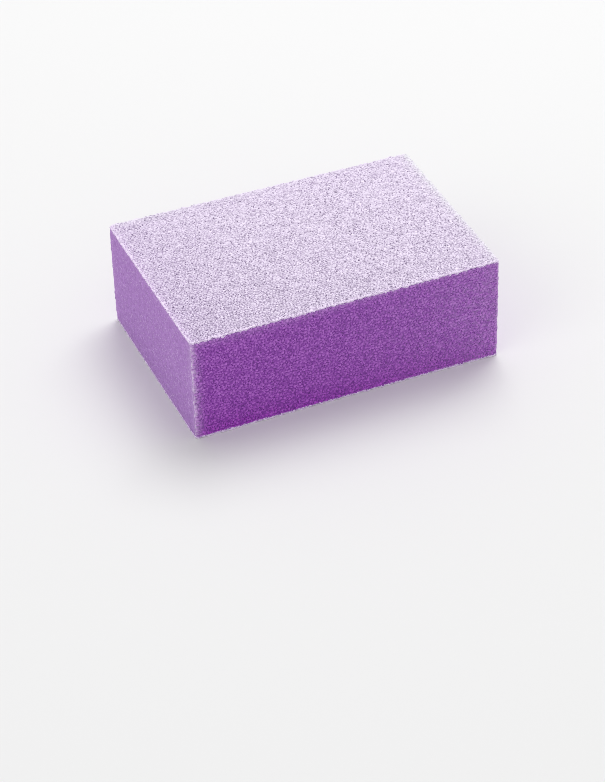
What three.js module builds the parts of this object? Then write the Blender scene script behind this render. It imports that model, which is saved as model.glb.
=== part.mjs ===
// A mini nail buffer block: a bar of soft foam with coarse abrasive on its two large faces and finer abrasive on
// its two long sides. The ends are bare foam, where the coated bar was cut to length.
// Millimetres, +Z up. X runs along the block and Y across it, and the origin is the centre of the bottom face.
import * as THREE from "three";

// The finished block, over its coats.
const LENGTH = 36;
const WIDTH = 25;
const HEIGHT = 12.7;
const CORNER_RADIUS = 0.3; // of the four upright corners
const CORNER_STEPS = 6; // straight pieces that stand for one rounded corner

// Each abrasive coat is a film of resin on the foam, the make coat, and the grit that it holds.
const COARSE = { make: 0.08, grit: 0.22 };
const FINE = { make: 0.05, grit: 0.12 };

const MATERIALS = {
  foam: new THREE.MeshStandardMaterial({ color: 0xa27ab8, roughness: 0.95, metalness: 0 }),
  make: new THREE.MeshStandardMaterial({ color: 0xc7a2dc, roughness: 0.6, metalness: 0 }),
  coarseGrit: new THREE.MeshStandardMaterial({ color: 0xd9cbe3, roughness: 0.8, metalness: 0 }),
  fineGrit: new THREE.MeshStandardMaterial({ color: 0x874e9f, roughness: 0.75, metalness: 0 }),
};

// Half the block's length on the line at y, which is shorter where the upright corners are rounded.
function halfLengthAt(y) {
  const intoCorner = Math.max(0, Math.abs(y) - (WIDTH / 2 - CORNER_RADIUS));
  return LENGTH / 2 - CORNER_RADIUS + Math.sqrt(Math.max(0, CORNER_RADIUS ** 2 - intoCorner ** 2));
}

// The places across the block where a slice from yLow to yHigh has points: its two cuts, and the steps of the
// rounded corners that lie between them.
function stationsBetween(yLow, yHigh) {
  const stations = [yLow, yHigh];
  for (let step = 0; step <= CORNER_STEPS; step++) {
    const angle = (step / CORNER_STEPS) * (Math.PI / 2);
    const y = WIDTH / 2 - CORNER_RADIUS + CORNER_RADIUS * Math.sin(angle);
    stations.push(y, -y);
  }
  return stations.filter((y) => y >= yLow && y <= yHigh).sort((a, b) => a - b);
}

// The part of the block's plan outline between two cuts along its length.
function planSlice(yLow, yHigh) {
  const right = stationsBetween(yLow, yHigh).map((y) => new THREE.Vector2(halfLengthAt(y), y));
  const left = right.map((point) => new THREE.Vector2(-point.x, point.y)).reverse();
  const outline = [...right, ...left].filter(
    (point, index, all) => index === 0 || point.distanceTo(all[index - 1]) > 1e-6,
  );
  return new THREE.Shape(outline);
}

// A flat-sided piece: a slice of the plan outline, from zLow up through its depth.
function slicePiece(name, material, { yLow, yHigh, zLow, depth }) {
  const geometry = new THREE.ExtrudeGeometry(planSlice(yLow, yHigh), { depth, bevelEnabled: false });
  const mesh = new THREE.Mesh(geometry, material);
  mesh.name = name;
  mesh.position.z = zLow;
  return mesh;
}

const COARSE_DEPTH = COARSE.make + COARSE.grit;
const FINE_DEPTH = FINE.make + FINE.grit;
const CORE = {
  yLow: -WIDTH / 2 + FINE_DEPTH,
  yHigh: WIDTH / 2 - FINE_DEPTH,
  zLow: COARSE_DEPTH,
  depth: HEIGHT - 2 * COARSE_DEPTH,
};

// The coat on one large face covers the whole plan outline, over the edges of the side coats.
function coarseCoat(face, zLowOfMake, zLowOfGrit) {
  const wholePlan = { yLow: -WIDTH / 2, yHigh: WIDTH / 2 };
  const coat = new THREE.Group();
  coat.add(
    slicePiece(`${face}_make_coat`, MATERIALS.make, { ...wholePlan, zLow: zLowOfMake, depth: COARSE.make }),
    slicePiece(`${face}_coarse_grit`, MATERIALS.coarseGrit, { ...wholePlan, zLow: zLowOfGrit, depth: COARSE.grit }),
  );
  return coat;
}

// The coat on one long side lies between the two coarse coats. side is -1 for the front and +1 for the back.
function fineCoat(face, side) {
  const outer = WIDTH / 2;
  const seam = outer - FINE.grit;
  const inner = outer - FINE_DEPTH;
  const between = (a, b) => ({ yLow: Math.min(side * a, side * b), yHigh: Math.max(side * a, side * b) });
  const coat = new THREE.Group();
  coat.add(
    slicePiece(`${face}_make_coat`, MATERIALS.make, { ...CORE, ...between(inner, seam) }),
    slicePiece(`${face}_fine_grit`, MATERIALS.fineGrit, { ...CORE, ...between(seam, outer) }),
  );
  return coat;
}

const block = new THREE.Group();
block.add(
  slicePiece("foam_core", MATERIALS.foam, CORE),
  coarseCoat("bottom", COARSE.grit, 0),
  coarseCoat("top", HEIGHT - COARSE_DEPTH, HEIGHT - COARSE.grit),
  fineCoat("front", -1),
  fineCoat("back", 1),
);

export default block;
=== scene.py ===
"""The looks of a mini nail buffer block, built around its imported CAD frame.

Each CAD layer is replaced by a piece with the layer's real surface: abrasive coats of separate angular
grains with pits between them, ragged resin films at the edges, and a foam core with its cut cells showing at
both ends. Lengths are in millimetres until a mesh is made, and MM turns them into Blender's metres.
"""

import math

import bpy
import numpy as np
from mathutils import Matrix, Vector, noise
from mathutils.geometry import delaunay_2d_cdt


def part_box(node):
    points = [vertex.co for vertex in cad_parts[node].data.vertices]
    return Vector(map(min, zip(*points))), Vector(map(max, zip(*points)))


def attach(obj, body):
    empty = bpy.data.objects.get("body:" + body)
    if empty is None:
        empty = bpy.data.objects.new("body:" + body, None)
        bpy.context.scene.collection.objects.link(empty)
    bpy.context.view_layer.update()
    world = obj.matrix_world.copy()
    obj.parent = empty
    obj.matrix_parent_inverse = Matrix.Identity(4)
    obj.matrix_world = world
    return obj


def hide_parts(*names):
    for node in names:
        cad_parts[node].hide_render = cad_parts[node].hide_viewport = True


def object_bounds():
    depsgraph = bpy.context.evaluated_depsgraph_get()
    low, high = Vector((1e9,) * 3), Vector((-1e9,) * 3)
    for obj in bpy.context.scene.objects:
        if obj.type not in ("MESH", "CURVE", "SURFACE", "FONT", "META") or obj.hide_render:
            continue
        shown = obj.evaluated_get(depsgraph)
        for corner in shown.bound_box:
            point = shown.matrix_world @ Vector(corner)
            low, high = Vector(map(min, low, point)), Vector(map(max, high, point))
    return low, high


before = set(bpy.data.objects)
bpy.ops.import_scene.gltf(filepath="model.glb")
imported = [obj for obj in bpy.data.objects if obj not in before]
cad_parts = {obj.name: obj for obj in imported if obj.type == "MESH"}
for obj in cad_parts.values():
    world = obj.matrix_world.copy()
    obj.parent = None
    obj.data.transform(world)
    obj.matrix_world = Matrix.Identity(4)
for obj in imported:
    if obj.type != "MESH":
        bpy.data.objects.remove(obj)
cad_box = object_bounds()

MM = 0.001

# The block's own shape, in mm
CORNER_RADIUS = 0.3
HALF_SIZE = (np.array(cad_box[1]) - np.array(cad_box[0])) / 2 / MM
HEIGHT = 2 * HALF_SIZE[2]

# How it is out of true, in mm. Its long sides bow in by SIDE_BOW at their middles. The far right upright edge
# isn't square to the rest, because the bar was cut a little askew. The corners are pulled in by about
# CORNER_PULL, and this fades over CORNER_REACH. CORNER_PHASES decides which corners are pulled more and which
# less, by up to CORNER_PULL_SPREAD.
SIDE_BOW = 0.06
FAR_EDGE_SHIFT = (0.31, -0.5)
CORNER_PULL = 0.06
CORNER_PULL_SPREAD = 0.05
CORNER_PHASES = (1.7, 2.9, 0.8)
CORNER_REACH = 0.6

# Which way each coat faces: the plan's u and v directions, and the outward direction
FACINGS = {
    "top": ((1, 0, 0), (0, 1, 0), (0, 0, 1)),
    "bottom": ((1, 0, 0), (0, -1, 0), (0, 0, -1)),
    "front": ((1, 0, 0), (0, 0, 1), (0, -1, 0)),
    "back": ((-1, 0, 0), (0, 0, 1), (0, 1, 0)),
}


# ---------------------------------------------------------------- plan shapes


def edge_distance(points, half, radius):
    """How far each point lies inside a rounded rectangle; it is negative outside."""
    over = np.abs(points) - (half - radius)
    outside = np.linalg.norm(np.maximum(over, 0), axis=1)
    return radius - outside - np.minimum(over.max(axis=1), 0)


def rounded_outline(half, radius, pitch):
    """Points round a rounded rectangle, anticlockwise at an even pitch, and the outward direction at each."""
    points, outward = [], []
    quarter = math.pi / 2
    arc_steps = max(2, round(quarter * radius / pitch))
    for corner, signs in enumerate(((1, 1), (-1, 1), (-1, -1), (1, -1))):
        centre = np.array(signs) * (half - radius)
        for step in range(arc_steps):
            angle = quarter * (corner + step / arc_steps)
            direction = np.array([math.cos(angle), math.sin(angle)])
            points.append(centre + radius * direction)
            outward.append(direction)
        angle = quarter * (corner + 1)
        direction = np.array([math.cos(angle), math.sin(angle)])
        along = np.array([-direction[1], direction[0]])
        length = 2 * abs((half - radius) @ along)
        steps = max(1, round(length / pitch))
        for step in range(steps):
            points.append(centre + radius * direction + along * length * step / steps)
            outward.append(direction)
    return np.array(points), np.array(outward)


def scatter(rng, half, spacing, jitter):
    """Points over a rectangle in staggered rows, each moved by up to jitter spacings, so no rows show."""
    row_gap = spacing * math.sqrt(3) / 2
    rows = np.arange(-half[1], half[1] + row_gap, row_gap)
    columns = np.arange(-half[0], half[0] + spacing, spacing)
    u, v = np.meshgrid(columns, rows)
    u = u + (np.arange(len(rows)) % 2)[:, None] * spacing / 2
    points = np.stack([u.ravel(), v.ravel()], axis=1)
    return points + rng.uniform(-jitter, jitter, points.shape) * spacing


def waves(points, size, seed):
    """Smooth noise of about -1 to 1 at each plan point, with waves of the given size in mm."""
    return np.array([2 * noise.noise(Vector((u / size, v / size, seed))) for u, v in points])


SAME_POINT = 1e-5  # mm, below which two points are taken as one


def triangulate(points, loop_length=0):
    """Delaunay triangles of the points, which stay in the outline that the first loop_length points make."""
    outline = [list(range(loop_length))] if loop_length else []
    keep_inside = 1 if loop_length else 0
    made = delaunay_2d_cdt([Vector(point) for point in points], [], outline, keep_inside, SAME_POINT)
    triangles, came_from = made[2], made[3]
    first_input = np.array([inputs[0] for inputs in came_from])
    return first_input[np.array(triangles)]


# ---------------------------------------------------------------- meshes


def halved(quads):
    """Two triangles for each four-cornered face."""
    quads = quads.reshape(-1, 4)
    return np.concatenate([quads[:, [0, 1, 2]], quads[:, [0, 2, 3]]])


def out_of_true(points):
    """Puts the whole block a little out of true, as cut foam is, and pulls its eight corners in."""
    share = points / HALF_SIZE - np.array([0, 0, 1])
    moved = points.copy()
    moved[:, 1] -= SIDE_BOW * (1 - share[:, 0] ** 2) * share[:, 1]
    near_far_edge = (1 + share[:, 0]) * (1 + share[:, 1]) / 4
    moved[:, :2] += near_far_edge[:, None] * FAR_EDGE_SHIFT
    corner_gap = (1 - np.abs(share)) * HALF_SIZE
    near = np.exp(-np.linalg.norm(np.maximum(corner_gap, 0), axis=1) / CORNER_REACH)
    pull = CORNER_PULL + CORNER_PULL_SPREAD * np.sin(np.sign(share) @ CORNER_PHASES)
    moved[:, :2] -= (near * pull)[:, None] * np.sign(share[:, :2])
    return moved


def make_piece(name, points, triangles, layout, attributes, material, smooth):
    """A mesh object from points in mm. layout holds a bake-map position for each corner of each triangle."""
    mesh = bpy.data.meshes.new(name)
    mesh.from_pydata((out_of_true(points) * MM).tolist(), [], triangles.tolist())
    for key, values in attributes.items():
        mesh.attributes.new(key, "FLOAT", "POINT").data.foreach_set("value", values.astype(np.float32))
    mesh.uv_layers.new(name="OFBake").data.foreach_set("uv", layout.astype(np.float32).ravel())
    mesh.polygons.foreach_set("use_smooth", np.full(len(triangles), smooth))
    mesh.materials.append(material)
    mesh.update()
    piece = bpy.data.objects.new(name, mesh)
    bpy.context.scene.collection.objects.link(piece)
    return piece


def box_mm(node):
    """The low and high corners of a CAD node's box, in mm."""
    return [np.array(corner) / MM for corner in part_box(node)]


def coat_size(node, facing):
    """A coat's half size in plan, and its depth."""
    low, high = box_mm(node)
    size = np.abs(np.array(FACINGS[facing], float) @ (high - low))
    return size[:2] / 2, size[2]


# A coat's bake map: the outer face fills most of the square, with the walls and the hidden inner face in the
# strips above it. MAP_OVERHANG is how far in mm the map reaches beyond the coat's plan, for its ragged rim.
MAP_MARGIN = 0.01
MAP_OVERHANG = 0.3
WALL_STRIP = (0.75, 0.85)
INNER_STRIP = (0.87, 0.99)


def face_layout(corners, half):
    """Bake-map places of the outer face's triangles, at their true proportions."""
    share = (corners / (half + MAP_OVERHANG) + 1) / 2
    tall = min(half[1] / half[0], WALL_STRIP[0] - 2 * MAP_MARGIN)
    return share * [1 - 2 * MAP_MARGIN, tall] + MAP_MARGIN


def inner_layout(corners, half):
    """Bake-map places of the hidden inner face's triangles, squeezed into a strip."""
    share = (corners / (half + MAP_OVERHANG) + 1) / 2
    low, high = INNER_STRIP
    return share * [1 - 2 * MAP_MARGIN, high - low] + [MAP_MARGIN, low]


def wall_layout(walls, rings):
    """Bake-map places of wall triangles: the outline runs along the strip and the rings climb it."""
    low, high = WALL_STRIP
    count, loop = rings.shape
    place = np.empty(rings.max() + 1)
    level = np.empty(rings.max() + 1)
    place[rings] = np.arange(loop) / loop
    level[rings] = 1 - np.arange(count)[:, None] / (count - 1)
    across = place[walls]
    wraps = across.max(axis=1) - across.min(axis=1) > 0.5
    across[wraps] = np.where(across[wraps] < 0.5, 1.0, across[wraps])
    return np.stack([MAP_MARGIN + across * (1 - 2 * MAP_MARGIN), low + level[walls] * (high - low)], axis=2)


def closed_coat(node, facing, sheet, walls, material):
    """Closes a coat from its outer sheet, down its walls, to its flat inner face, and puts it in its place.

    sheet is an array of rows (u, v, height, lift, tone), and each wall is a ring of such rows under the
    sheet's rim. The attribute under_rim goes from 0 on the sheet to 1 on the last ring.
    """
    half, depth = coat_size(node, facing)
    axes = np.array(FACINGS[facing], float)
    inner_centre = sum(box_mm(node)) / 2 - axes[2] * depth / 2
    loop = len(walls[0])
    rows = np.concatenate([sheet, *walls])
    ring_starts = [0, *(len(sheet) + loop * step for step in range(len(walls)))]
    rings = np.arange(loop) + np.array(ring_starts)[:, None]
    outer = triangulate(sheet[:, :2], loop)
    upper, lower = rings[:-1], rings[1:]
    sides = halved(np.stack([lower, np.roll(lower, -1, 1), np.roll(upper, -1, 1), upper], axis=2))
    inner = rings[-1][triangulate(walls[-1][:, :2], loop)][:, ::-1]
    layout = np.concatenate([
        face_layout(rows[outer][:, :, :2], half),
        wall_layout(sides, rings),
        inner_layout(rows[inner][:, :, :2], half),
    ])
    points = inner_centre + rows[:, :3] @ axes
    down_walls = np.repeat(np.arange(len(walls)) + 1, loop) / len(walls)
    under_rim = np.concatenate([np.zeros(len(sheet)), down_walls])
    attributes = {"lift": rows[:, 3], "tone": rows[:, 4], "under_rim": under_rim}
    triangles = np.concatenate([outer, sides, inner])
    piece = make_piece(node + "_surface", points, triangles, layout, attributes, material, smooth=False)
    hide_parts(node)
    return piece


# ---------------------------------------------------------------- abrasive coats

# For each kind of grit: the grains' spacing in mm, the share of the coat's depth that the tops of grains, the
# saddles between two grains and the pits between three lie at, how steeply the tops tilt, how much the pits
# fill up towards the thicker side of the coat, and how far the coat's rim strays in mm: from tooth to tooth,
# in longer waves, and in waves at the ends, where the knife cuts.
COARSE = {
    "spacing": 0.35,
    "tops": (0.78, 0.97),
    "saddles": (0.42, 0.88),
    "pits": (0.0, 0.48),
    "tilt": 1.5,
    "fill": 0.8,
    "teeth": 0.07,
    "wander": 0.08,
    "end_wander": 0.02,
}
FINE = {
    "spacing": 0.38,
    "tops": (0.6, 1.0),
    "saddles": (0.35, 0.85),
    "pits": (0.1, 0.6),
    "tilt": 1.5,
    "fill": 0.05,
    "teeth": 0.02,
    "wander": 0.03,
    "end_wander": 0.06,
}

# What both grits share. In spacings: how far a grain strays from its place in the rows, how far its corners
# reach out, and how far the saddles beside it stray.
FACET_CORNERS = 3
GRAIN_STRAY = 0.4
FACET_REACH = (0.22, 0.42)
SADDLE_STRAY = 0.04
FACET_TURN = 0.4  # radians that a grain's corners stray from an even spacing
LOWEST_FACET = 0.3  # share of the coat's depth, as is the next one
FULLEST_PIT = 0.9
THICKER_TOWARDS = (0.2, 0.3)  # the coat gets thicker in this plan direction

# The coats' rims, in mm: the pitch of their points, the size of their long waves, how far grains keep from
# the rim, and how round a side coat's corners are.
RIM_PITCH = 0.12
RIM_WAVE = 0.6
RIM_CLEARANCE = 0.07
SIDE_COAT_RADIUS = 0.1
RIM_INWARD = 0.4  # how far the waves are moved inward, as a share of their reach
RIM_BAND = 4  # spacings from the edge within which a grain may touch the rim

# The colours of a coat's rim and walls come from these ranges of lift and tone. WALL_RINGS has, for each ring
# of a wall going down, its share of the coat's depth and how far it bulges in mm. Where a coat falls away it
# keeps LEAST_SHARE of its depth.
RIM_LIFTS = (0.72, 0.97)
RIM_TONES = (0.4, 1.0)
WALL_LIFTS = (0.3, 1.0)
WALL_RINGS = ((0.5, 0.03), (0.0, 0.0))
LEAST_SHARE = 0.1

# The films under the grit, in mm: the spacing of their inner points and how far these keep from the rim, how
# far the film juts out under the grit, how far its wall strays on each of its rings, and how far its hidden
# inner face stops short of the rim.
FILM_SPACING = 2.5
FILM_CLEARANCE = 1.0
FILM_LIP = 0.02
FILM_STRAY = (0.03, 0.02)
FILM_INSET = 0.4

# What is added to a coat's seed for its film's points, and for the waves of the film's hanging edge
FILM_SEED = 100
HANG_SEED = 50


def grain_rows(rng, half, grit):
    """The plan points of a field of grains, with each one's share of the coat's depth and a tone."""
    spacing = grit["spacing"]
    centres = scatter(rng, half, spacing, GRAIN_STRAY)
    net = triangulate(centres)
    pits = centres[net].mean(axis=1)
    net_edges = np.concatenate([net[:, [0, 1]], net[:, [1, 2]], net[:, [2, 0]]])
    edges = np.unique(np.sort(net_edges, axis=1), axis=0)
    saddles = centres[edges].mean(axis=1) + rng.normal(0, SADDLE_STRAY * spacing, (len(edges), 2))

    count = len(centres)
    turn = rng.uniform(0, math.tau, (count, 1)) + np.arange(FACET_CORNERS) * math.tau / FACET_CORNERS
    turn += rng.uniform(-FACET_TURN, FACET_TURN, turn.shape)
    reach = spacing * rng.uniform(*FACET_REACH, turn.shape)
    offset = np.stack([np.cos(turn), np.sin(turn)], axis=2) * reach[:, :, None]
    facets = (centres[:, None, :] + offset).reshape(-1, 2)
    slope = rng.normal(0, grit["tilt"], (count, 1, 2))
    top = rng.uniform(*grit["tops"], (count, 1))
    facet_lift = np.clip(top + (offset * slope).sum(axis=2), LOWEST_FACET, 1.0).ravel()
    facet_tone = np.repeat(rng.random(count), FACET_CORNERS)

    fill = grit["fill"] * np.clip((pits / half) @ THICKER_TOWARDS + 0.5, 0, 1)
    pit_lift = np.minimum(rng.uniform(*grit["pits"], len(pits)) + fill * rng.random(len(pits)), FULLEST_PIT)
    lift = np.concatenate([facet_lift, rng.uniform(*grit["saddles"], len(saddles)), pit_lift])
    tone = np.concatenate([facet_tone, rng.random(len(saddles)), rng.random(len(pits))])
    return np.column_stack([np.concatenate([facets, saddles, pits]), lift, tone])


def rim_wander(outline, outward, grit, seed):
    """How far a coat's rim strays outward in long waves at each of its points, in mm, mostly inward."""
    at_end = np.abs(outward[:, 0])
    reach = grit["end_wander"] * at_end + grit["wander"] * (1 - at_end)
    return reach * (waves(outline, RIM_WAVE, seed) - RIM_INWARD)


def clear_of_rim(points, rim, outward, clearance):
    """Which points lie inside a ragged rim by more than a clearance. It works in batches, to save memory."""
    batch = 2000
    inside = np.empty(len(points), bool)
    for start in range(0, len(points), batch):
        part = points[start:start + batch]
        gap = part[:, None] - rim[None]
        nearest = (gap**2).sum(axis=2).argmin(axis=1)
        depth = -(gap[np.arange(len(part)), nearest] * outward[nearest]).sum(axis=1)
        inside[start:start + batch] = depth > clearance
    return inside


def grit_coat(node, facing, grit, radius, seed, material, drop=None):
    """One abrasive coat. drop gives how far the coat's outer surface falls away at each plan point, in mm."""
    rng = np.random.default_rng(seed)
    half, depth = coat_size(node, facing)
    outline, outward = rounded_outline(half, radius, RIM_PITCH)
    loop = len(outline)
    wander = rim_wander(outline, outward, grit, seed)
    ragged = outline + outward * (wander + rng.uniform(-grit["teeth"], grit["teeth"], loop))[:, None]

    rows = grain_rows(rng, half, grit)
    rows = rows[edge_distance(rows[:, :2], half, radius) > 0]
    near = edge_distance(rows[:, :2], half, radius) < RIM_BAND * grit["spacing"]
    kept = ~near
    kept[near] = clear_of_rim(rows[near][:, :2], ragged, outward, RIM_CLEARANCE)
    rim = np.column_stack([ragged, rng.uniform(*RIM_LIFTS, loop), rng.uniform(*RIM_TONES, loop)])
    rows = np.concatenate([rim, rows[kept]])
    height = rows[:, 2] * depth
    if drop is not None:
        height = np.maximum(height - drop(rows[:, :2]), LEAST_SHARE * height)
    sheet = np.insert(rows, 2, height, axis=1)

    walls = []
    for level, bulge in WALL_RINGS:
        swing = wander + bulge + rng.uniform(-grit["teeth"], grit["teeth"], loop)
        walls.append(np.column_stack([
            outline + outward * swing[:, None],
            height[:loop] * level,
            rng.uniform(*WALL_LIFTS, loop),
            rng.random(loop),
        ]))
    piece = closed_coat(node, facing, sheet, walls, material)
    return piece


def film_coat(node, facing, radius, grit, seed, material):
    """A make coat: a thin even film whose ragged edge shows between the grit and the foam."""
    rng = np.random.default_rng(seed + FILM_SEED)
    half, depth = coat_size(node, facing)
    outline, outward = rounded_outline(half, radius, RIM_PITCH)
    loop = len(outline)
    wander = rim_wander(outline, outward, grit, seed)
    field = scatter(rng, half, FILM_SPACING, GRAIN_STRAY)
    field = field[edge_distance(field, half, radius) > FILM_CLEARANCE]
    rim = outline + outward * (wander + FILM_LIP)[:, None]
    plan = np.concatenate([rim, field])
    full = np.ones(len(plan))
    sheet = np.column_stack([plan, depth * full, full, rng.random(len(plan))])
    hang = grit["wander"] * np.maximum(waves(outline, RIM_WAVE / 2, seed + HANG_SEED), 0)
    tone = rng.random(loop)
    walls = []
    for stray, level in zip(FILM_STRAY, (np.full(loop, depth / 2), -hang)):
        swing = wander + rng.uniform(-stray, stray, loop)
        walls.append(np.column_stack([outline + outward * swing[:, None], level, np.ones(loop), tone]))
    inset = outline * (1 - FILM_INSET / half)
    walls.append(np.column_stack([inset, np.zeros(loop), np.ones(loop), tone]))
    piece = closed_coat(node, facing, sheet, walls, material)
    return piece


def corner_drop(plan):
    """How far a long side's surface falls back towards the ends, where the upright corners are rounded."""
    into_corner = np.clip(np.abs(plan[:, 0]) - (HALF_SIZE[0] - CORNER_RADIUS), 0, CORNER_RADIUS)
    return CORNER_RADIUS - np.sqrt(CORNER_RADIUS**2 - into_corner**2)


# ---------------------------------------------------------------- foam core

# In mm: the size and depth of the cut cells, and the pitch of the mesh on the ends and under the side coats.
# CELL_WALL is the width of the rise from a cell's wall to its floor, as a share of its size.
CELL_SIZE = 0.3
CELL_DEPTH = 0.04
CELL_WALL = 0.4
FOAM_PITCH = 0.11
COVERED_PITCH = 2.0

# The foam's bake map: a band for each end, a thin strip for each covered long side, and one for both caps
END_BANDS = (0.01, 0.46)
END_BAND_HEIGHT = 0.44
SIDE_STRIPS = (0.92, 0.95)
SIDE_STRIP_HEIGHT = 0.02
CAP_STRIP = 0.98
CAP_STRIP_HEIGHT = 0.01


def foam_core(material):
    """The bar: a sleeve of columns round the plan outline, with cut cells on the ends, and two caps."""
    low, high = box_mm("foam_core")
    outline, outward = rounded_outline(HALF_SIZE[:2], CORNER_RADIUS, FOAM_PITCH)
    covered = np.abs(outline[:, 1]) > high[1]
    keep_every = round(COVERED_PITCH / FOAM_PITCH)
    wanted = ~covered | (np.arange(len(outline)) % keep_every == 0)
    outline, outward = outline[wanted], outward[wanted]
    outline[:, 1] = np.clip(outline[:, 1], low[1], high[1])
    levels = np.linspace(low[2], high[2], round((high[2] - low[2]) / FOAM_PITCH) + 1)
    columns, rows = len(outline), len(levels)

    points = np.empty((rows, columns, 3))
    points[:, :, :2] = outline
    points[:, :, 2] = levels[:, None]
    on_end = np.clip((np.abs(outline[:, 0]) - (HALF_SIZE[0] - CORNER_RADIUS)) / CORNER_RADIUS, 0, 1)
    dent = np.zeros((rows, columns))
    for column in np.flatnonzero(on_end > 0):
        for row in range(rows):
            nearest, second = noise.voronoi(Vector(points[row, column]) / CELL_SIZE)[0][:2]
            dent[row, column] = min(1.0, (second - nearest) / CELL_WALL)
    inward = dent * on_end * CELL_DEPTH
    points[:, :, :2] -= inward[:, :, None] * outward
    points = points.reshape(-1, 3)

    index = np.arange(rows * columns).reshape(rows, columns)
    beside = np.roll(index, -1, axis=1)
    sleeve = halved(np.stack([index[:-1], beside[:-1], beside[1:], index[1:]], axis=2))
    top_cap = triangulate(points[index[-1]][:, :2], columns)
    bottom_cap = triangulate(points[index[0]][:, :2], columns)[:, ::-1]
    faces = np.concatenate([sleeve, index[-1][top_cap], index[0][bottom_cap]])
    layout = np.concatenate([
        foam_wall_layout(points, sleeve, low, high),
        hidden_layout(points, index[-1][top_cap]),
        hidden_layout(points, index[0][bottom_cap]),
    ])
    attributes = {"lift": 1 - dent.ravel()}
    piece = make_piece("foam_core_surface", points, faces, layout, attributes, material, smooth=True)
    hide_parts("foam_core")
    return piece


def foam_wall_layout(points, faces, low, high):
    """Bake-map places of the sleeve: each end in its own band, and the covered long sides in a thin strip."""
    corners = points[faces]
    middle = corners.mean(axis=1)
    is_end = np.abs(middle[:, 0]) > HALF_SIZE[0] - CORNER_RADIUS
    across = np.where(is_end[:, None], corners[:, :, 1] / HALF_SIZE[1], corners[:, :, 0] / HALF_SIZE[0])
    up = (corners[:, :, 2] - low[2]) / (high[2] - low[2])
    end_low = np.where(middle[:, 0] > 0, END_BANDS[1], END_BANDS[0])
    side_low = np.where(middle[:, 1] > 0, SIDE_STRIPS[1], SIDE_STRIPS[0])
    height = np.where(is_end, END_BAND_HEIGHT, SIDE_STRIP_HEIGHT)
    band = np.where(is_end, end_low, side_low)[:, None] + up * height[:, None]
    return np.stack([(across + 1) / 2 * (1 - 2 * MAP_MARGIN) + MAP_MARGIN, band], axis=2)


def hidden_layout(points, faces):
    """Bake-map places of the caps, which no one sees: squeezed into the map's last strip."""
    share = (points[faces][:, :, :2] / HALF_SIZE[:2] + 1) / 2
    return share * [1 - 2 * MAP_MARGIN, CAP_STRIP_HEIGHT] + [MAP_MARGIN, CAP_STRIP]


# ---------------------------------------------------------------- materials


class Nodes:
    """A short way to write a material's node tree. Sizes and distances are in mm."""

    # The colour sockets of a Mix node, which has a set of sockets for each kind of data
    MIX_FIRST, MIX_SECOND, MIX_RESULT = 6, 7, 2
    PATCH_SIZE = 0.3

    def __init__(self, name):
        self.material = bpy.data.materials.new(name)
        self.material.use_nodes = True
        self.tree = self.material.node_tree
        self.shader = self.tree.nodes["Principled BSDF"]

    def add(self, kind, inputs=(), **settings):
        node = self.tree.nodes.new(kind)
        for key, value in settings.items():
            setattr(node, key, value)
        for key, value in dict(inputs).items():
            if isinstance(value, bpy.types.NodeSocket):
                self.tree.links.new(value, node.inputs[key])
            else:
                node.inputs[key].default_value = value
        return node

    def attribute(self, name):
        return self.add("ShaderNodeAttribute", attribute_name=name).outputs["Fac"]

    def place(self):
        return self.add("ShaderNodeTexCoord").outputs["Object"]

    def noise(self, size_mm, detail=2.0, stretch=(1, 1, 1)):
        squeezed = [1 / along for along in stretch]
        place = self.add("ShaderNodeMapping", {"Vector": self.place(), "Scale": squeezed}).outputs["Vector"]
        inputs = {"Vector": place, "Scale": 1 / (size_mm * MM), "Detail": detail}
        return self.add("ShaderNodeTexNoise", inputs).outputs["Fac"]

    def math(self, operation, first, second, clamp=False):
        inputs = {0: first, 1: second}
        return self.add("ShaderNodeMath", inputs, operation=operation, use_clamp=clamp).outputs[0]

    def rise(self, value, start, end, low=0.0, high=1.0):
        """Goes from low to high as the value goes from start to end, and stays there beyond them."""
        inputs = {"Value": value, "From Min": start, "From Max": end, "To Min": low, "To Max": high}
        return self.add("ShaderNodeMapRange", inputs).outputs["Result"]

    def edge_fade(self, axis, reach, strength, side=0):
        """How strongly an edge mark shows at a point: strength where the block ends along an axis, fading
        inward over a reach in mm. It marks real wear, and also painted shade and painted light.

        side is 1 for the far end of the axis, -1 for the near end and 0 for both.
        """
        along = self.add("ShaderNodeSeparateXYZ", {"Vector": self.place()}).outputs[axis]
        middle = HEIGHT / 2 if axis == 2 else 0.0
        offset = self.math("SUBTRACT", along, middle * MM)
        distance = self.math("MULTIPLY", offset, side) if side else self.math("ABSOLUTE", offset, 0.0)
        inward = self.math("SUBTRACT", HALF_SIZE[axis] * MM, distance)
        fade = self.math("EXPONENT", self.math("DIVIDE", inward, -reach * MM), 0.0)
        patchy = self.rise(self.noise(self.PATCH_SIZE), 0.35, 0.65, 0.5 * strength, 1.5 * strength)
        return self.math("MULTIPLY", fade, patchy, clamp=True)

    def ramp(self, factor, stops):
        node = self.add("ShaderNodeValToRGB", {"Fac": factor})
        elements = node.color_ramp.elements
        while len(elements) < len(stops):
            elements.new(0.5)
        for element, (position, colour) in zip(elements, stops):
            element.position = position
            element.color = (*colour, 1)
        return node.outputs["Color"]

    def mix(self, factor, first, second, blend="MIX"):
        node = self.add("ShaderNodeMix", {"Factor": factor}, data_type="RGBA", blend_type=blend)
        for place, value in ((self.MIX_FIRST, first), (self.MIX_SECOND, second)):
            if isinstance(value, bpy.types.NodeSocket):
                self.tree.links.new(value, node.inputs[place])
            else:
                node.inputs[place].default_value = (*value, 1)
        return node.outputs[self.MIX_RESULT]

    def set(self, key, value):
        if isinstance(value, bpy.types.NodeSocket):
            self.tree.links.new(value, self.shader.inputs[key])
        else:
            self.shader.inputs[key].default_value = value

    def bump(self, height, strength, distance_mm):
        inputs = {"Height": height, "Strength": strength, "Distance": distance_mm * MM}
        self.set("Normal", self.add("ShaderNodeBump", inputs).outputs["Normal"])
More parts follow.
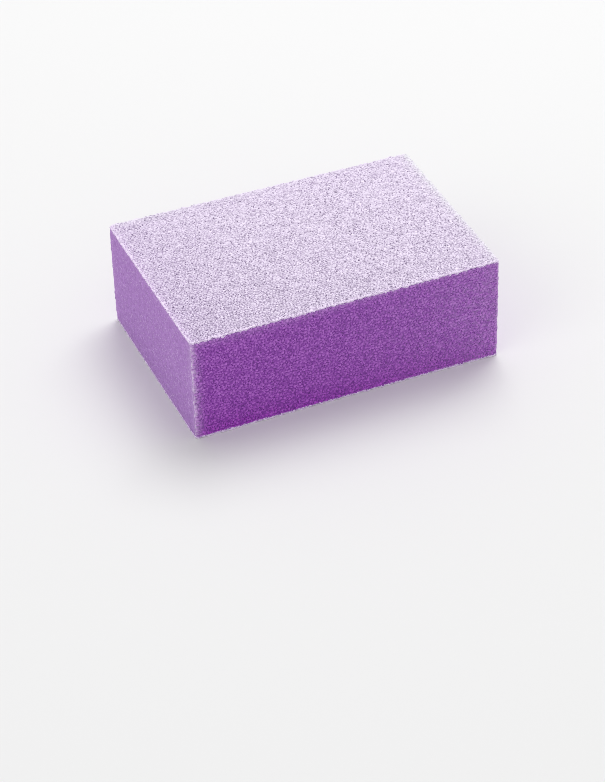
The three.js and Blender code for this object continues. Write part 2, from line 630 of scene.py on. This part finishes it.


# Pale edges on grit and foam alike: worn pale where edges rub, and painted light too: a painted highlight on
# the coarse coats' near rims, a painted sheen on the long sides and painted glints on the foam. The coarse
# coats also go paler and greyer along their far right and back edges.
PALE_COLOUR = (0.90, 0.74, 0.99)
FAR_EDGE_COLOUR = (0.82, 0.805, 0.855)
RESIN_COLOUR = (0.30, 0.08, 0.46)


def coarse_grit_material():
    """Pale mineral grains in purple resin, which shows in the pits and down the walls, with painted shade
    towards the left end and the back, a painted highlight along the front and left rims, and paler, greyer
    far right and back edges.
    """
    nodes = Nodes("coarse_grit")
    lift = nodes.attribute("lift")
    pit_to_top = [(0.05, (0.10, 0.06, 0.15)), (0.4, (0.45, 0.37, 0.52)), (0.8, (0.90, 0.80, 0.97))]
    grain = nodes.ramp(lift, pit_to_top)
    toned = nodes.mix(nodes.attribute("tone"), (0.84, 0.83, 0.85), (1.0, 1.0, 1.0))
    face = nodes.mix(1.0, grain, toned, "MULTIPLY")
    # Painted shade: darker towards the left end and a little towards the back, mixed in as resin colour.
    # Resin also shows down the lower half of the walls.
    painted_shade_left_and_back = nodes.math("MAXIMUM", nodes.edge_fade(0, 5.0, 0.13, side=-1), nodes.edge_fade(1, 3.0, 0.05, side=1))
    resin_and_painted_shade = nodes.math("MAXIMUM", nodes.rise(nodes.attribute("under_rim"), 0.5, 1.0), painted_shade_left_and_back)
    colour = nodes.mix(resin_and_painted_shade, face, RESIN_COLOUR)
    # Paler and greyer along the far right and back edges.
    pale_far_edges = nodes.math("MAXIMUM", nodes.edge_fade(0, 0.5, 0.7, side=1), nodes.edge_fade(1, 0.5, 0.5, side=1))
    # Painted highlight: the front and left rims go pale, glowing where they catch the light.
    pale_edges_and_painted_light = nodes.math("MAXIMUM", nodes.edge_fade(0, 0.4, 0.6, side=-1), nodes.edge_fade(1, 0.2, 0.75, side=-1))
    nodes.set("Base Color", nodes.mix(pale_edges_and_painted_light, nodes.mix(pale_far_edges, colour, FAR_EDGE_COLOUR), PALE_COLOUR))
    nodes.set("Roughness", 0.5)
    nodes.bump(nodes.noise(0.05), 0.3, 0.02)
    return nodes.material


def fine_grit_material():
    """Fine grains sunk in purple resin, with pale tops that are partly painted glints, worn edges, painted
    shade that makes them darker and more purple towards the bottom, and a painted sheen towards the right
    end.
    """
    nodes = Nodes("fine_grit")
    lift = nodes.attribute("lift")
    # Grain tops go pale: partly the grains' own colour, partly painted glints.
    pit_to_top = [(0.15, (0.12, 0.007, 0.22)), (0.55, (0.255, 0.029, 0.405)), (0.95, (0.51, 0.15, 0.68))]
    # Painted shade: darker and more purple towards the bottom.
    painted_bottom_shade = nodes.mix(nodes.edge_fade(2, 2.0, 0.65, side=-1), (1.0, 1.0, 1.0), (1.0, 0.0, 1.0))
    grain = nodes.mix(1.0, nodes.ramp(lift, pit_to_top), painted_bottom_shade, "MULTIPLY")
    # Worn pale at both ends and along the top edge. The long fade over 12 mm towards the right end is a
    # painted sheen.
    pale_edges_and_painted_light = nodes.edge_fade(0, 0.4, 0.65, side=-1)
    for axis, reach, strength in ((0, 0.25, 0.5), (0, 12.0, 0.125), (2, 0.55, 0.26)):
        pale_edges_and_painted_light = nodes.math("MAXIMUM", pale_edges_and_painted_light, nodes.edge_fade(axis, reach, strength, side=1))
    nodes.set("Base Color", nodes.mix(pale_edges_and_painted_light, grain, PALE_COLOUR))
    nodes.set("Roughness", 0.5)
    nodes.bump(nodes.noise(0.05), 0.3, 0.02)
    return nodes.material


def make_coat_material():
    """The cured resin film under the grit: satin purple with pale beads, and pale where the knife cut it."""
    nodes = Nodes("make_coat")
    colour = nodes.ramp(nodes.noise(0.2), [(0.45, RESIN_COLOUR), (0.6, PALE_COLOUR)])
    nodes.set("Base Color", nodes.mix(nodes.edge_fade(0, 0.4, 0.6), colour, PALE_COLOUR))
    nodes.set("Roughness", 0.5)
    nodes.bump(nodes.noise(0.08), 0.3, 0.02)
    return nodes.material


def foam_material():
    """Cut foam: dull purple, with painted shade in its cells, blotches of dye, painted glints as pale flecks,
    and worn edges.
    """
    nodes = Nodes("foam")
    # Painted shade: darker at the floors of the cut cells.
    cell = nodes.ramp(nodes.attribute("lift"), [(0.0, (0.385, 0.18, 0.53)), (1.0, (0.475, 0.25, 0.625))])
    blotch = nodes.mix(nodes.noise(0.5, 1.0, stretch=(1, 1.5, 1)), (0.80, 0.78, 0.81), (1.22, 1.24, 1.21))
    # Painted glints: pale flecks where cut cell walls catch the light. The ends' edges below are worn pale.
    pale_edges_and_painted_light = nodes.rise(nodes.noise(0.16, 0.0), 0.66, 0.76, 0.0, 0.35)
    for axis, reach, strength in ((1, 0.45, 0.25), (2, 0.35, 0.2)):
        pale_edges_and_painted_light = nodes.math("MAXIMUM", pale_edges_and_painted_light, nodes.edge_fade(axis, reach, strength))
    colour = nodes.mix(1.0, cell, blotch, "MULTIPLY")
    nodes.set("Base Color", nodes.mix(pale_edges_and_painted_light, colour, PALE_COLOUR))
    nodes.set("Roughness", 0.95)
    nodes.bump(nodes.noise(0.15, 1.0), 0.2, 0.03)
    return nodes.material


def floor_material():
    """A plain pale floor."""
    nodes = Nodes("floor")
    nodes.set("Base Color", (0.82, 0.82, 0.82, 1))
    nodes.set("Roughness", 0.8)
    return nodes.material


# ---------------------------------------------------------------- the block

coarse = coarse_grit_material()
fine = fine_grit_material()
resin = make_coat_material()
pieces = [foam_core(foam_material())]
for seed, facing in enumerate(("top", "bottom"), 11):
    pieces.append(grit_coat(facing + "_coarse_grit", facing, COARSE, CORNER_RADIUS, seed, coarse))
    pieces.append(film_coat(facing + "_make_coat", facing, CORNER_RADIUS, COARSE, seed, resin))
for seed, facing in enumerate(("front", "back"), 31):
    pieces.append(grit_coat(facing + "_fine_grit", facing, FINE, SIDE_COAT_RADIUS, seed, fine, corner_drop))
    pieces.append(film_coat(facing + "_make_coat", facing, SIDE_COAT_RADIUS, FINE, seed, resin))
for piece in pieces:
    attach(piece, "root")


# ---------------------------------------------------------------- studio

# In mm
FLOOR_SIZE = 3000
SOFTBOX_SIZE = 400
SOFTBOX_DISTANCE = 600


def add_floor():
    """A square of floor under the block, wide enough to fill the picture."""
    half = FLOOR_SIZE / 2 * MM
    mesh = bpy.data.meshes.new("floor")
    corners = [(-half, -half, 0), (half, -half, 0), (half, half, 0), (-half, half, 0)]
    mesh.from_pydata(corners, [], [(0, 1, 2, 3)])
    mesh.materials.append(floor_material())
    floor = bpy.data.objects.new("floor", mesh)
    bpy.context.scene.collection.objects.link(floor)


def add_softbox(name, azimuth, elevation, power):
    """A square area light aimed at the block. Azimuth 0 is in front of it, on the -Y side, and 90 at +X."""
    a, e = math.radians(azimuth), math.radians(elevation)
    away = Vector((math.sin(a) * math.cos(e), -math.cos(a) * math.cos(e), math.sin(e)))
    lamp = bpy.data.lights.new(name, "AREA")
    lamp.size = SOFTBOX_SIZE * MM
    lamp.energy = power
    light = bpy.data.objects.new(name, lamp)
    light.location = away * SOFTBOX_DISTANCE * MM
    light.rotation_mode = "QUATERNION"
    light.rotation_quaternion = (-away).to_track_quat("-Z", "Y")
    bpy.context.scene.collection.objects.link(light)


def add_world(light, backdrop):
    """An even white surround. Its strength is light for the block, and backdrop where the camera sees it."""
    world = bpy.data.worlds.new("studio")
    world.use_nodes = True
    tree = world.node_tree
    background = tree.nodes["Background"]
    background.inputs["Color"].default_value = (1, 1, 1, 1)
    strength = tree.nodes.new("ShaderNodeMapRange")
    strength.inputs["To Min"].default_value = light
    strength.inputs["To Max"].default_value = backdrop
    rays = tree.nodes.new("ShaderNodeLightPath")
    tree.links.new(rays.outputs["Is Camera Ray"], strength.inputs["Value"])
    tree.links.new(strength.outputs["Result"], background.inputs["Strength"])
    bpy.context.scene.world = world


# The camera looks down at the middle of a stack of three blocks, of which this is the top one.
CAMERA_AIM = Vector((-0.4, 0.1, -0.6 * HEIGHT)) * MM
CAMERA_DISTANCE = 291.3 * MM
CAMERA_AZIMUTH = math.radians(-22.15)
CAMERA_ELEVATION = math.radians(36.8)
CAMERA_ROLL = math.radians(-1.88)
CAMERA_LENS = 117.1


def add_camera():
    """The camera of the main view."""
    camera = bpy.data.objects.new("camera", bpy.data.cameras.new("camera"))
    camera.data.lens = CAMERA_LENS
    level = math.cos(CAMERA_ELEVATION)
    back = Vector((
        math.sin(CAMERA_AZIMUTH) * level,
        -math.cos(CAMERA_AZIMUTH) * level,
        math.sin(CAMERA_ELEVATION),
    ))
    turn = (-back).to_track_quat("-Z", "Y").to_matrix() @ Matrix.Rotation(CAMERA_ROLL, 3, "Z")
    camera.matrix_world = Matrix.Translation(CAMERA_AIM + back * CAMERA_DISTANCE) @ turn.to_4x4()
    bpy.context.scene.collection.objects.link(camera)
    bpy.context.scene.camera = camera


add_floor()
add_world(light=0.6, backdrop=0.75)
add_softbox("key", azimuth=140, elevation=60, power=2.1)
add_softbox("fill", azimuth=-70, elevation=35, power=0.5)
add_camera()
bpy.context.scene.view_settings.view_transform = "Standard"
# The grit's pixel-sized grains stay crisp: a narrow pixel filter, and a denoiser that trusts the colours.
bpy.context.scene.cycles.filter_width = 0.8
bpy.context.scene.cycles.denoising_prefilter = "NONE"
